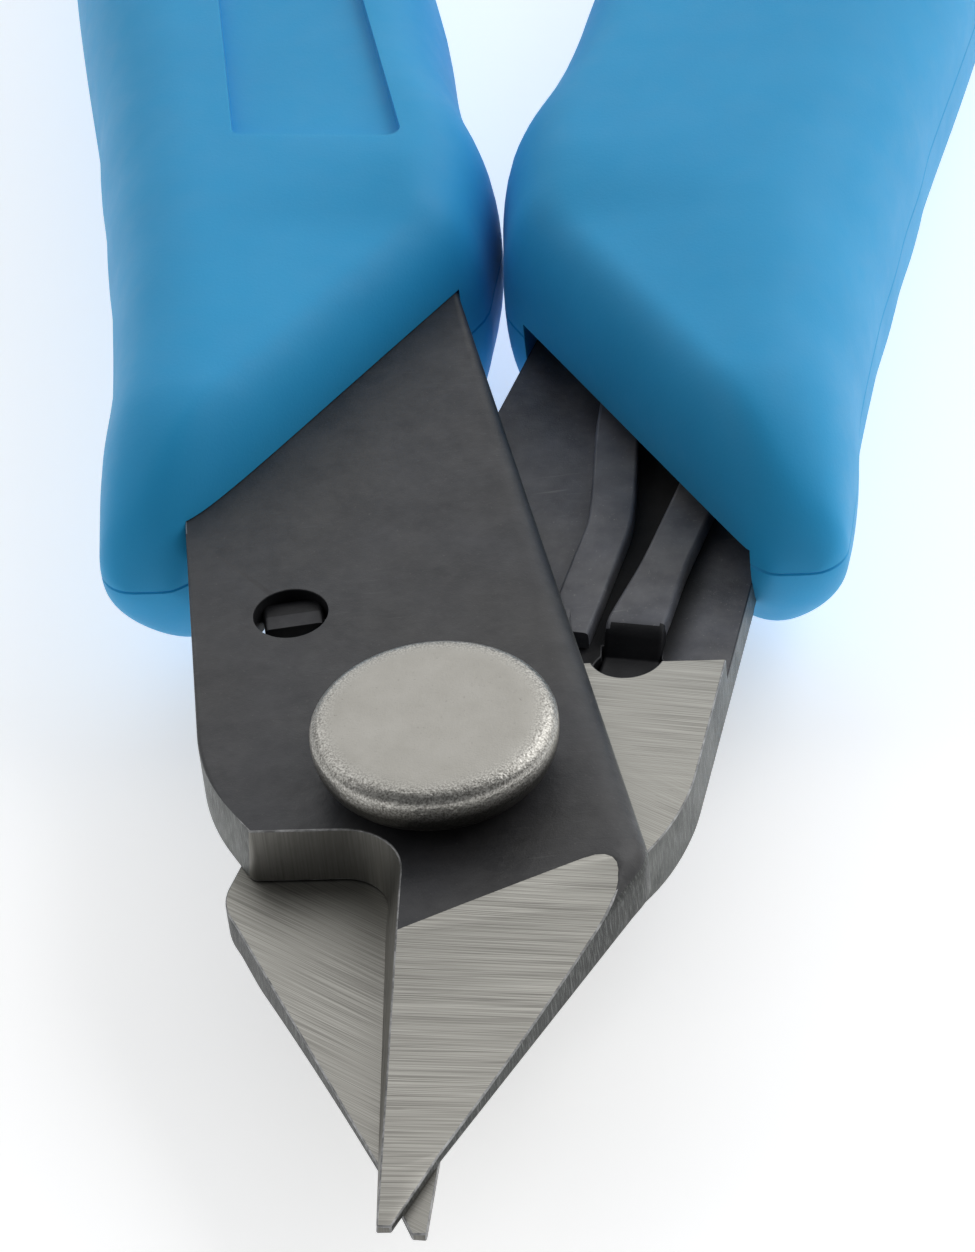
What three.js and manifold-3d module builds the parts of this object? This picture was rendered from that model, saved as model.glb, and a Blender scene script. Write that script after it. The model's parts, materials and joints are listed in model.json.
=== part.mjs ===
// Flush cutter (micro-shear): two identical stamped arms riveted face to face, a moulded grip on each
// handle, and a flat hairpin return spring in each arm's recess.
// Millimetres. The tool lies flat: +Z up, jaws towards -Y, handles towards +Y.
// One half is modelled with the pivot at x = y = 0 and the meeting plane of the two arms at z = 0: its arm
// lies below that plane, its jaw is at -X and its handle at +X. The other half is the same half turned
// 180 degrees about Y.

import * as THREE from 'three';
import { mergeVertices } from 'three/addons/utils/BufferGeometryUtils.js';
import Module from 'manifold-3d';

const wasm = await Module();
wasm.setup();

// ---- driving dimensions ----------------------------------------------------------------------------

const PLATE = 2.1;                // thickness of each arm
const FACE_GAP = 0.02;            // from the meeting plane to each arm's inner face
const RELIEF = 0.85;              // depth of the recessed inner face above the pivot
const RELIEF_Y = [7.55, 46];      // where the recess starts and ends
const TIP_Y = -18.2;              // jaw tip
const WHEEL_R = 41.4;             // wheel that grinds the jaw's outer face hollow, down to a thin tip
const WHEEL_AT = new THREE.Vector3(-5.61, -19.2, -41.33);
const WHEEL_AXIS = new THREE.Vector3(-0.957, 0.28, 0.0767);
const UNDERCUT = 0.6;             // how far the wall behind the cutting edge leans back

const RIVET_SHANK_R = 2.6;
const RIVET_HEAD_R = 4;
const RIVET_HEAD_H = 2.2;
const RIVET_SEAT_R = 3.15;        // where the head meets the arm
const RIVET_BELLY = 1.15;         // height over which the head's side draws in towards the seat
const BORE_R = 2.65;
const HOLE = { x: 5.6, y: 8, r: 1.27 };      // hole that anchors the spring's tang
const POCKET = { x: [4.65, 6.95], y: 9.6, depth: 0.6 };   // room for the tang's bend behind the hole
const TANG = { x: [4.9, 6.7], y: [8.5, 9.2], z: -1.25 };

const STRIP_W = 1.6;              // spring strip, seen from above
const STRIP_T = 0.7;              // spring strip, thickness
const STRIP_TOP = -0.1;           // top of the strip below the meeting plane
const LOOP = { x: 9.4, y: 40.5, r: 1.9 };   // centre line of the hairpin's bend
const LOOP_GAP = 0.3;             // between the two legs at the top of the bend
const STOP_X = 2.9;               // wall that the other half's spring pushes
const STOP_W = 2.7;
const STOP_Y = 9.8;

const GRIP_T = 12;                // thickness of a grip
const GRIP_END_Y = 108.8;
const GRIP_NOSE_Y = 11.9;
const GRIP_CORNER = { inner: 3, outer: 4.6 };   // rounding of its long edges
const NOSE_ROUND = 3.4;           // length over which the nose is rounded
const NOSE_X = 11.5;              // the nose narrows towards this line
const MOUTH = [[0.85, 26.65], [9.85, 12.13]];   // slanting mouth, from its inner corner to the nose
const TAIL_ROUND = 5.5;           // length over which the far end is rounded
const PANEL_DEPTH = 0.5;          // plain sunk panel on the grip's outer face
const PANEL = [[3.25, 31.1], [9.65, 31.6], [11.3, 41], [13, 50], [14.9, 62], [10.2, 62], [7.6, 50], [5.5, 41]];
const SLOT_CLEAR = 0.1;           // between an arm and its grip
const SLOT_TOP = 0.6;             // roof of the slot that the spring runs in
const SHANK_END_Y = 92;
const CORNER_STEPS = 5;
const GRIP_STATIONS = 34;
const END_CROWDING = 0.8;         // how strongly the sections crowd towards both ends
const SMALLEST_RING = 0.3;

const COLOURS = { grip: 0x3f93c8, oxide: 0x3c3c3f, spring: 0x4a4a4b, rivet: 0xb2aea4 };

// ---- solids ----------------------------------------------------------------------------------------

function solid(geometry) {
  const bare = geometry.clone();
  bare.deleteAttribute('normal');
  bare.deleteAttribute('uv');
  const merged = mergeVertices(bare, 1e-4);
  return new wasm.Manifold(new wasm.Mesh({
    numProp: 3,
    vertProperties: new Float32Array(merged.attributes.position.array),
    triVerts: new Uint32Array(merged.index.array),
  }));
}

function node(name, body, colour, roughness, metalness) {
  const mesh = body.getMesh();
  const geometry = new THREE.BufferGeometry();
  geometry.setAttribute('position', new THREE.BufferAttribute(new Float32Array(mesh.vertProperties), 3));
  geometry.setIndex(new THREE.BufferAttribute(new Uint32Array(mesh.triVerts), 1));
  geometry.computeVertexNormals();
  const material = new THREE.MeshStandardMaterial({ color: colour, roughness, metalness });
  const piece = new THREE.Mesh(geometry, material);
  piece.name = name;
  return piece;
}

function slab(shape, z0, z1, curveSegments = 10) {
  const geometry = new THREE.ExtrudeGeometry(shape, { depth: z1 - z0, bevelEnabled: false, curveSegments });
  return solid(geometry.translate(0, 0, z0));
}

function polygon(points) {
  return new THREE.Shape(points.map(([x, y]) => new THREE.Vector2(x, y)));
}

function rectangle([x0, x1], [y0, y1]) {
  return polygon([[x0, y0], [x1, y0], [x1, y1], [x0, y1]]);
}

function disc(x, y, r, z0, z1, sides = 48) {
  const geometry = new THREE.CylinderGeometry(r, r, z1 - z0, sides);
  return solid(geometry.rotateX(Math.PI / 2).translate(x, y, (z0 + z1) / 2));
}

// ---- handle centre line ----------------------------------------------------------------------------

const axisLine = new THREE.SplineCurve([
  [5.7, GRIP_NOSE_Y], [6.6, 21], [7.5, 28], [7.85, 33], [8.95, 38.5], [11.45, 50], [13.55, 61], [15.5, 75],
  [16.75, 90], [17, GRIP_END_Y],
].map(([x, y]) => new THREE.Vector2(x, y)));

// Half width of the grip: widest where the two grips meet, slimmer towards both ends.
function gripHalfWidth(y) {
  const swell = THREE.MathUtils.smoothstep(y, 26, 33);
  const waist = THREE.MathUtils.smoothstep(y, 33.5, 38);
  const rear = THREE.MathUtils.smoothstep(y, 42, 98);
  return 7.15 + 0.55 * swell - 0.25 * waist - 1.4 * rear;
}

// Shrinks a section over a rounded end, as a quarter circle does.
function endRound(y) {
  const nose = Math.max(0, 1 - (y - GRIP_NOSE_Y) / NOSE_ROUND);
  const tail = Math.max(0, 1 - (GRIP_END_Y - y) / TAIL_ROUND);
  return Math.sqrt(1 - Math.min(1, nose ** 2 + tail ** 2));
}

// ---- arm -------------------------------------------------------------------------------------------

// Plan outline, anticlockwise from the jaw tip: cutting edge, notch, outer edge, shank, inner edge, jaw.
function armOutline() {
  const notch = { x: 1.5, y: -2.95, r: 1.7 };
  const shape = new THREE.Shape();
  shape.moveTo(0.75, TIP_Y);
  shape.lineTo(notch.x, notch.y - notch.r);
  shape.absarc(notch.x + notch.r, notch.y - notch.r, notch.r, Math.PI, Math.PI / 2, true);
  shape.lineTo(5.77, notch.y);
  shape.lineTo(6.59, -1.71);
  shape.quadraticCurveTo(7.66, -0.07, 7.97, 1.86);
  shape.lineTo(9.7, 12.5);
  shape.quadraticCurveTo(10.6, 18, 12.2, 30);
  shape.lineTo(13.7, 45);
  shape.lineTo(16.6, 60);
  shape.lineTo(18.6, 75);
  shape.lineTo(19.6, 88);
  shape.quadraticCurveTo(19.7, SHANK_END_Y, 17, SHANK_END_Y);
  shape.quadraticCurveTo(13.8, SHANK_END_Y, 13.6, 88);
  shape.lineTo(12.2, 75);
  shape.lineTo(9.9, 60);
  shape.lineTo(6.9, 45);
  shape.lineTo(1.35, 27);
  shape.lineTo(-6.5, -2.6);
  shape.quadraticCurveTo(-6.95, -4, -6.3, -5);
  shape.lineTo(-0.95, -15.4);
  shape.lineTo(0.29, TIP_Y);
  return shape;
}

// Wheel whose rim hollows the outer face of the jaw.
function grindingWheel() {
  const geometry = new THREE.CylinderGeometry(WHEEL_R, WHEEL_R, 60, 300);
  const upright = new THREE.Vector3(0, 1, 0);
  const turn = new THREE.Quaternion().setFromUnitVectors(upright, WHEEL_AXIS.clone().normalize());
  geometry.applyQuaternion(turn);
  geometry.translate(WHEEL_AT.x, WHEEL_AT.y, WHEEL_AT.z);
  return solid(geometry);
}

// Wedge that leans the wall behind the cutting edge back from the edge.
function undercutWedge() {
  const start = new THREE.Vector2(1.5, -4.6);
  const end = new THREE.Vector2(0.66, TIP_Y - 1);
  const length = start.distanceTo(end);
  const section = polygon([[0, 0.01], [-UNDERCUT, -PLATE - 0.1], [3, -PLATE - 0.1], [3, 0.01]]);
  const geometry = new THREE.ExtrudeGeometry(section, { depth: length, bevelEnabled: false });
  geometry.rotateX(Math.PI / 2);
  geometry.rotateZ(-Math.atan2(start.x - end.x, start.y - end.y));
  geometry.translate(start.x, start.y, 0);
  return solid(geometry);
}

function arm(name) {
  const low = -FACE_GAP - PLATE;
  const reliefFloor = -FACE_GAP - RELIEF;
  const relief = slab(polygon([
    [-20, RELIEF_Y[0]], [-STOP_X, RELIEF_Y[0]], [-STOP_X, STOP_Y], [-STOP_X + STOP_W, STOP_Y],
    [-STOP_X + STOP_W, RELIEF_Y[0]], [30, RELIEF_Y[0]], [30, RELIEF_Y[1]], [-20, RELIEF_Y[1]],
  ]), reliefFloor, 1);
  const body = slab(armOutline(), low, -FACE_GAP)
    .subtract(relief)
    .subtract(grindingWheel())
    .subtract(undercutWedge())
    .subtract(disc(0, 0, BORE_R, low - 1, 1))
    .subtract(disc(HOLE.x, HOLE.y, HOLE.r, low - 1, 1, 32))
    .subtract(slab(rectangle(POCKET.x, [HOLE.y, POCKET.y]), reliefFloor - POCKET.depth, 0));
  return node(name, body, COLOURS.oxide, 0.45, 0.9);
}

// ---- rivet -----------------------------------------------------------------------------------------

// Both heads: flat end, small round shoulder, side drawn in towards the arm.
function rivet() {
  const seat = FACE_GAP + PLATE + 0.03;
  const top = seat + RIVET_HEAD_H;
  const shoulder = 0.5;
  const half = [[0, top], [RIVET_HEAD_R - shoulder, top]];
  for (let i = 1; i <= 4; i++) {
    const a = Math.PI / 2 * (1 - i / 4);
    const [inset, drop] = [1 - Math.cos(a), 1 - Math.sin(a)];
    half.push([RIVET_HEAD_R - shoulder * inset, top - shoulder * drop]);
  }
  for (let i = 0; i <= 4; i++) {
    const a = Math.PI / 2 * i / 4;
    const inset = (RIVET_HEAD_R - RIVET_SEAT_R) * (1 - Math.cos(a));
    half.push([RIVET_HEAD_R - inset, seat + RIVET_BELLY * (1 - Math.sin(a))]);
  }
  half.push([RIVET_SHANK_R, seat]);
  const lower = half.map(([r, z]) => [r, -z]).reverse();
  const profile = [...half, ...lower].map(([r, z]) => new THREE.Vector2(r, z)).reverse();
  const geometry = new THREE.LatheGeometry(profile, 48).rotateX(Math.PI / 2);
  return node('pivot_rivet', solid(geometry), COLOURS.rivet, 0.35, 1);
}

// ---- return spring ---------------------------------------------------------------------------------

// Flat strip of even width along a centre line.
function strip(points) {
  const line = new THREE.SplineCurve(points.map(([x, y]) => new THREE.Vector2(x, y)));
  const steps = points.length * 4;
  const sides = [[], []];
  for (let i = 0; i <= steps; i++) {
    const at = line.getPoint(i / steps);
    const along = line.getTangent(i / steps);
    sides[0].push([at.x - along.y * STRIP_W / 2, at.y + along.x * STRIP_W / 2]);
    sides[1].unshift([at.x + along.y * STRIP_W / 2, at.y - along.x * STRIP_W / 2]);
  }
  return slab(polygon([...sides[1], ...sides[0]].reverse()), STRIP_TOP - STRIP_T, STRIP_TOP);
}

// Quarter of the hairpin's bend, from angle a0 to a1 about its centre.
function bend(a0, a1) {
  const ring = new THREE.Shape();
  ring.absarc(LOOP.x, LOOP.y, LOOP.r + STRIP_W / 2, a0, a1, false);
  ring.absarc(LOOP.x, LOOP.y, LOOP.r - STRIP_W / 2, a1, a0, true);
  return slab(ring, STRIP_TOP - STRIP_T, STRIP_TOP, 8);
}

function anchoredLeg(name) {
  const half = LOOP_GAP / 2 / LOOP.r;
  const tang = slab(rectangle(TANG.x, TANG.y), TANG.z, STRIP_TOP);
  const leg = strip([
    [5.8, 9], [6.3, 11], [7.3, 15.1], [8.3, 19], [9.6, 25], [10.7, 32], [LOOP.x + LOOP.r, 38.5],
    [LOOP.x + LOOP.r, LOOP.y + 0.05],
  ]);
  const body = leg.add(bend(0, Math.PI / 2 - half)).add(tang);
  return node(name, body, COLOURS.spring, 0.5, 0.9);
}

// The free leg ends in a tab turned across the meeting plane; the tab pushes the other arm's stop.
function movingLeg(name) {
  const half = LOOP_GAP / 2 / LOOP.r;
  const tab = slab(rectangle([3.05, 3.65], [8.6, 9.6]), STRIP_TOP - STRIP_T, 0.6);
  const leg = strip([
    [3.45, 9.1], [3.9, 11], [4.55, 14.2], [4.72, 17], [4.85, 22], [5.7, 30], [LOOP.x - LOOP.r - 0.15, 37.5],
    [LOOP.x - LOOP.r, LOOP.y + 0.05],
  ]);
  const body = leg.add(bend(Math.PI / 2 + half, Math.PI)).add(tab);
  return node(name, body, COLOURS.spring, 0.5, 0.9);
}

// ---- grip ------------------------------------------------------------------------------------------

// Rounded rectangle about the origin, as points [across, up] in order.
function gripSection(halfWidth) {
  const points = [];
  for (let corner = 0; corner < 4; corner++) {
    const outer = corner === 0 || corner === 3;
    const r = outer ? GRIP_CORNER.outer : GRIP_CORNER.inner;
    const cx = (outer ? 1 : -1) * (halfWidth - r);
    const cz = (corner < 2 ? 1 : -1) * (GRIP_T / 2 - r);
    for (let i = 0; i <= CORNER_STEPS; i++) {
      const a = Math.PI / 2 * (corner + i / CORNER_STEPS);
      points.push([cx + r * Math.cos(a), cz + r * Math.sin(a)]);
    }
  }
  return points;
}

// Closed solid through rings of points that all have the same count.
function loft(rings) {
  const around = rings[0].length;
  const index = [];
  for (let i = 0; i < rings.length - 1; i++) {
    for (let k = 0; k < around; k++) {
      const a = i * around + k;
      const b = i * around + (k + 1) % around;
      index.push(a, a + around, b, b, a + around, b + around);
    }
  }
  const last = (rings.length - 1) * around;
  for (let k = 1; k < around - 1; k++) {
    index.push(0, k, k + 1, last, last + k + 1, last + k);
  }
  const geometry = new THREE.BufferGeometry();
  geometry.setAttribute('position', new THREE.Float32BufferAttribute(rings.flat(2), 3));
  geometry.setIndex(index);
  return solid(geometry);
}

function gripBlank() {
  const rings = [];
  for (let i = 0; i < GRIP_STATIONS; i++) {
    const t = i / (GRIP_STATIONS - 1);
    const eased = t - END_CROWDING * Math.sin(2 * Math.PI * t) / (2 * Math.PI);
    const centre = axisLine.getPoint(eased);
    const scale = Math.max(endRound(centre.y), SMALLEST_RING);
    const x = centre.y < GRIP_NOSE_Y + NOSE_ROUND ? THREE.MathUtils.lerp(NOSE_X, centre.x, scale) : centre.x;
    rings.push(gripSection(gripHalfWidth(centre.y)).map(([across, up]) => (
      [x + across * scale, centre.y, up * scale]
    )));
  }
  return loft(rings);
}

// Everything in front of the slanting mouth, except the nose at its outer corner.
function mouthCut() {
  const [inner, nose] = MOUTH;
  return slab(polygon([[-30, inner[1]], inner, nose, [nose[0], 0], [-30, 0]]), -20, 20);
}

// Slot for the arm and, in front, for the spring above it.
function shankSlot() {
  const low = -FACE_GAP - PLATE - SLOT_CLEAR;
  const shank = polygon([
    [-1.2, 18], [1.25, 26.9], [6.8, 45.1], [9.8, 60.1], [12.1, 75.1], [13.5, 88.1], [13.7, SHANK_END_Y + 0.3],
    [19.8, SHANK_END_Y + 0.3], [19.7, 88], [18.7, 75], [16.7, 60], [13.8, 45], [12.4, 30], [10.9, 18],
    [9.8, 12.5], [9.5, 5],
  ].reverse());
  const front = new THREE.BoxGeometry(60, 60, 10);
  front.translate(0, RELIEF_Y[1] - 30, low + 5);
  return slab(shank, low, SLOT_CLEAR).add(slab(shank, low, SLOT_TOP).intersect(solid(front)));
}

function grip(name) {
  const panel = slab(polygon(PANEL), -GRIP_T, -GRIP_T / 2 + PANEL_DEPTH);
  const body = gripBlank().subtract(mouthCut()).subtract(shankSlot()).subtract(panel);
  return node(name, body, COLOURS.grip, 0.7, 0);
}

// ---- assembly --------------------------------------------------------------------------------------

function half(side) {
  const group = new THREE.Group();
  group.add(
    arm(`${side}_arm`),
    anchoredLeg(`${side}_spring_anchored_leg`),
    movingLeg(`${side}_spring_moving_leg`),
    grip(`${side}_grip`),
  );
  return group;
}

const rearHalf = half('rear');
const frontHalf = half('front');
frontHalf.rotation.y = Math.PI;

const flushCutter = new THREE.Group();
flushCutter.add(rearHalf, frontHalf, rivet());
flushCutter.position.set(0, -(TIP_Y + GRIP_END_Y) / 2, GRIP_T / 2);

export default flushCutter;
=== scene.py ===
"""Looks of the flush cutter: ground and blackened arms, tumbled rivet, flat springs and moulded grips.

One half of the tool is described in "half" millimetres: the pivot's axis is x = y = 0, the plane where the
two arms meet is z = 0, the arm lies below it, its jaw is at -x and its handle at +x. The front half is the
same half turned 180 degrees about y.
"""
import json
import math

import bmesh
import bpy
import numpy as np
from mathutils import Matrix, Vector


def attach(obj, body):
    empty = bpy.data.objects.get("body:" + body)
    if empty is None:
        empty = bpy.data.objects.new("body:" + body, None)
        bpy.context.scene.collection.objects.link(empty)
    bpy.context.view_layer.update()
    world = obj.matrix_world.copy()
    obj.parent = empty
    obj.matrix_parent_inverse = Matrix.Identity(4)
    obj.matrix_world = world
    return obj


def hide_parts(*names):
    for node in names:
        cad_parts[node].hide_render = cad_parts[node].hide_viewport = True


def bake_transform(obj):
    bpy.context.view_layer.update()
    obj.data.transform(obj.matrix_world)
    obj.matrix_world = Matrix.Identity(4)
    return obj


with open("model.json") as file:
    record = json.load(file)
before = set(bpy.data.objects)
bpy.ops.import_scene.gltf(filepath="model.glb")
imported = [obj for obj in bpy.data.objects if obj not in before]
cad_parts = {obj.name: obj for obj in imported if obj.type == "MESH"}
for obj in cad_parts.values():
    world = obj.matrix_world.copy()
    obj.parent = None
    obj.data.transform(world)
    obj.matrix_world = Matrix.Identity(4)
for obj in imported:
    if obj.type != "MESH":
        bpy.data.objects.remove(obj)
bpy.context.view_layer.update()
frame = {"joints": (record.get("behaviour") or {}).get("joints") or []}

MM = 0.001
PIVOT = Vector(next(j["pos_m"] for j in frame["joints"] if j["name"] == "pivot"))
HALVES = {
    "rear": Matrix.Translation(PIVOT) @ Matrix.Scale(MM, 4),
    "front": Matrix.Translation(PIVOT) @ Matrix.Rotation(math.pi, 4, "Y") @ Matrix.Scale(MM, 4),
}

# ---- driving dimensions, in half millimetres ---------------------------------------------------------------

FACE = -0.02                      # inner face of the arm
PLATE = 2.1                       # thickness of the arm
RELIEF = 0.85                     # depth of the recess that the spring lies in
RELIEF_X = (-20, 30)              # past both sides of the arm
RELIEF_Y = (7.55, 46.0)
TIP_Y = -18.2
SHANK_END_Y = 92
INNER_PLAN = {"notch_x": 6.0, "notch_y": -2.95, "notch_r": 1.5, "ear_r": 0.5, "cut_x": 1.5, "tip_x": 0.75}
OUTER_PLAN = {"notch_x": 5.86, "notch_y": -2.87, "notch_r": 2.0, "ear_r": 0.12, "cut_x": 0.86, "tip_x": 0.5}
ROLL_WIDTH = 1.55                 # rolled edge at the outer corner of the jaw
ROLL_REST = 0.26                  # rolled edge along the rest of the arm
ROLL_DEPTH = 0.62                 # depth of the rolled edge, as a share of its width
ROLL_STEPS = 10
EDGE = 0.05                       # rounding of the arm's other edges
WHEEL_R = 41.4                    # wheel that grinds the jaw's outer face hollow
WHEEL_REACH = 40
WHEEL_AT = (-5.61, -19.2, -41.33)
WHEEL_AXIS = (-0.957, 0.280, 0.0767)
STOP_X = (-2.9, -0.2)             # raised stop left standing in the recess
STOP_Y = 9.8
BORE_R = 2.65
HOLE = (5.6, 8.0)
HOLE_R = 1.27
POCKET_X = (4.65, 6.7)            # room for the tang's bend behind the hole
POCKET_Y = (8.0, 9.4)
POCKET_DEPTH = 0.6
FILLET_STEPS = 10
CLEAR = 9                         # reach of the cutters that go through the whole arm

RIVET_R = 4.0
RIVET_SEAT_R = 2.95
RIVET_SEAT = -FACE + PLATE + 0.03
RIVET_TOP = RIVET_SEAT + 2.2
RIVET_SHOULDER = 0.5
RIVET_STEPS = 10

STRIP_W = 1.6
STRIP_T = 0.7
STRIP_CORNER = 0.14
STRIP_MID = -0.45                 # middle of the strip's thickness
LOOP = (9.4, 40.5)                # the hairpin's bend
LOOP_R = 1.9
LOOP_POINTS = 25
ANCHORED_LEG = (                  # middle line of each leg, from the pivot's side to the bend
    (5.86, 9.9), (6.17, 11), (7.28, 15.1), (8.3, 19), (9.6, 25), (10.7, 32), (LOOP[0] + LOOP_R, 38.5),
    (LOOP[0] + LOOP_R, LOOP[1]),
)
FREE_LEG = (
    (3.45, 9.35), (3.88, 11.3), (4.3, 13.3), (4.62, 14.8), (4.74, 15.8), (4.78, 17.5), (4.85, 22), (5.7, 30),
    (LOOP[0] - LOOP_R - 0.15, 37.5), (LOOP[0] - LOOP_R, LOOP[1]),
)
FLARE = 0.28                      # widening of the anchored leg by the pivot
FLARE_Y = (9.4, 13.5)
TANG_TOWARDS = Vector((-0.18, -1, 0))
TANG_BEND_R = 0.45
TANG_BEND = 55                    # degrees
TANG_DROP = 0.95
HOOK_STEPS = 6
TANG_BEND_Y = 9.6                 # the anchored leg bends down from here
TANG_LEVEL_Y = 8.4                # and is level again from here
TANG_END_Y = 7.75                 # to its end in the arm's hole
TAB_X = (3.05, 3.65)
TAB_Y = (8.9, 9.7)
TAB_CORNER = 0.1
TAB_TOP = 0.6

GRIP_H = 6.0                      # half thickness of the grip
GRIP_NOSE_Y = 11.9
GRIP_END_Y = 108.8
MOUTH = ((0.85, 26.65), (9.85, 12.13))    # two points on the oblique mouth's line
NOSE_X = 9.85                     # inner side of the nose, beside the arm
GRIP_AXIS = (                     # middle line of the grip
    (5.7, GRIP_NOSE_Y), (6.6, 21), (7.5, 28), (7.85, 33), (8.95, 38.5), (11.45, 50), (13.55, 61), (15.5, 75),
    (16.75, 90), (17, GRIP_END_Y),
)
PARTING = 0.06                    # half width and depth of the groove at the mould's parting line
PILLOW = 2.3                      # power of the grip's rounding; 2 is an ellipse
GRIP_ROWS = 220
GRIP_COLUMNS = 44
PANEL = ((3.25, 31.1), (9.65, 31.6), (11.2, 41), (12.9, 50), (14.8, 62), (10.3, 62), (7.7, 50), (5.6, 41))
PANEL_ENDS = (0, 1, 4, 5)         # the panel's sharper corners
PANEL_CENTRE = Vector((9.2, 46))
PANEL_DEPTH = 0.5
PANEL_SLOPE = 1.03                # widening of the panel's cutter from its floor to its outer end

FINE_STREAK = (0.2, 32.0, 0.5)    # grinding marks: noise per millimetre along, across and through
COARSE_STREAK = (0.4, 15.0, 0.4)
BLACK = (0.0, 0.0, 0.0)

CAMERA_TARGET = (0.78, 9.59, 0)   # millimetres from the pivot
CAMERA_AZIMUTH = 7.75             # degrees
CAMERA_ELEVATION = 39.36
CAMERA_ROLL = -6.52
CAMERA_LENS = 126.5               # millimetres
CAMERA_DISTANCE = 0.150           # metres, as are all lengths below
LIGHT_TARGET = (0, -0.03, 0.006)
LIGHTS = (                        # name, place, size and power
    ("softbox_top", (0.0, 0.8, 0.9), (2.2, 1.4), 9.0),
    ("softbox_key", (0.75, 0.35, 0.6), (0.9, 0.9), 4.6),
    ("softbox_left", (-0.7, 0.1, 0.45), (0.6, 0.6), 0.9),
    ("softbox_back", (0.1, 1.3, 0.25), (2.2, 0.5), 2.0),
)
FLOOR = 3.0                       # half width of the floor
FLOOR_Z = -0.0001


# ---- geometry helpers --------------------------------------------------------------------------------------

def smoothstep(value, low, high):
    t = np.clip((np.asarray(value, float) - low) / (high - low), 0, 1)
    return t * t * (3 - 2 * t)


def fillet(corners):
    """Closed outline from corners (x, y, radius), with an arc at each corner that has a radius."""
    points = []
    for i, (x, y, radius) in enumerate(corners):
        here = Vector((x, y))
        before = (Vector(corners[i - 1][:2]) - here).normalized()
        after = (Vector(corners[(i + 1) % len(corners)][:2]) - here).normalized()
        if radius == 0:
            points.append(here)
            continue
        half = before.angle(after) / 2
        centre = here + (before + after).normalized() * radius / math.sin(half)
        start = here + before * radius / math.tan(half) - centre
        turn = math.pi - 2 * half
        sign = -math.copysign(1, before.x * after.y - before.y * after.x)
        for k in range(FILLET_STEPS + 1):
            a = sign * turn * k / FILLET_STEPS
            points.append(centre + Matrix.Rotation(a, 2) @ start)
    return [(p.x, p.y) for p in points]


def box_outline(x_range, y_range, radius=0):
    (x0, x1), (y0, y1) = x_range, y_range
    return fillet([(x0, y0, radius), (x1, y0, radius), (x1, y1, radius), (x0, y1, radius)])


def spline(points, per_span=6):
    """Points along a Catmull-Rom curve through the given ones."""
    p = [Vector(q) for q in points]
    p = [2 * p[0] - p[1], *p, 2 * p[-1] - p[-2]]
    line = []
    for i in range(1, len(p) - 2):
        for k in range(per_span):
            t = k / per_span
            line.append(0.5 * (2 * p[i] + (p[i + 1] - p[i - 1]) * t
                               + (2 * p[i - 1] - 5 * p[i] + 4 * p[i + 1] - p[i + 2]) * t * t
                               + (3 * p[i] - p[i - 1] - 3 * p[i + 1] + p[i + 2]) * t * t * t))
    return line + [p[-2]]


def clean(mesh, merge=0.0):
    """Merges vertices closer than a distance, and turns every face outwards."""
    shape = bmesh.new()
    shape.from_mesh(mesh)
    if merge:
        bmesh.ops.remove_doubles(shape, verts=shape.verts, dist=merge)
    bmesh.ops.recalc_face_normals(shape, faces=shape.faces)
    shape.to_mesh(mesh)
    shape.free()


def new_object(name, vertices, faces, *materials):
    mesh = bpy.data.meshes.new(name)
    mesh.from_pydata([tuple(v) for v in vertices], [], faces)
    for material in materials:
        mesh.materials.append(material)
    obj = bpy.data.objects.new(name, mesh)
    bpy.context.scene.collection.objects.link(obj)
    clean(mesh)
    return obj


def tube_faces(n, rings):
    """Faces of a closed tube through rings of n points: its two ends, then its sides."""
    last = n * (rings - 1)
    faces = [tuple(range(n)), tuple(range(last, last + n))]
    for i in range(rings - 1):
        for k in range(n):
            a = i * n + k
            b = i * n + (k + 1) % n
            faces.append((a, b, b + n, a + n))
    return faces


def prism(name, material, low_z, high_z, low_outline, high_outline=None):
    """Closed solid between two outlines with the same number of points, or with one outline throughout."""
    vertices = [(x, y, low_z) for x, y in low_outline]
    vertices += [(x, y, high_z) for x, y in high_outline or low_outline]
    return new_object(name, vertices, tube_faces(len(low_outline), 2), material)


def lathe(name, material, profile, steps):
    """Solid of revolution about z; the profile runs from one end on the axis to the other."""
    vertices = [(0, 0, profile[0][1])]
    inner = profile[1:-1]
    for r, z in inner:
        for k in range(steps):
            a = 2 * math.pi * k / steps
            vertices.append((r * math.cos(a), r * math.sin(a), z))
    vertices.append((0, 0, profile[-1][1]))
    last = len(vertices) - 1
    last_ring = last - steps
    faces = []
    for k in range(steps):
        k2 = (k + 1) % steps
        faces.append((0, 1 + k, 1 + k2))
        faces.append((last, last_ring + k2, last_ring + k))
        for i in range(len(inner) - 1):
            a = 1 + i * steps
            faces.append((a + k, a + steps + k, a + steps + k2, a + k2))
    return new_object(name, vertices, faces, material)


def apply_modifiers(obj):
    graph = bpy.context.evaluated_depsgraph_get()
    graph.update()
    mesh = bpy.data.meshes.new_from_object(obj.evaluated_get(graph), depsgraph=graph)
    obj.modifiers.clear()
    obj.data = mesh


def cut(obj, *cutters):
    """Cuts shapes out of a piece; the cut faces take the cutters' materials."""
    for cutter in cutters:
        modifier = obj.modifiers.new("cut", "BOOLEAN")
        modifier.object = cutter
        modifier.operation = "DIFFERENCE"
        modifier.solver = "EXACT"
        modifier.material_mode = "TRANSFER"
    apply_modifiers(obj)
    for cutter in cutters:
        bpy.data.objects.remove(cutter)


def cylinder(name, material, radius, reach, steps):
    """Round bar about z, with its ends at plus and minus its reach."""
    return lathe(name, material, [(0, -reach), (radius, -reach), (radius, reach), (0, reach)], steps)


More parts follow.
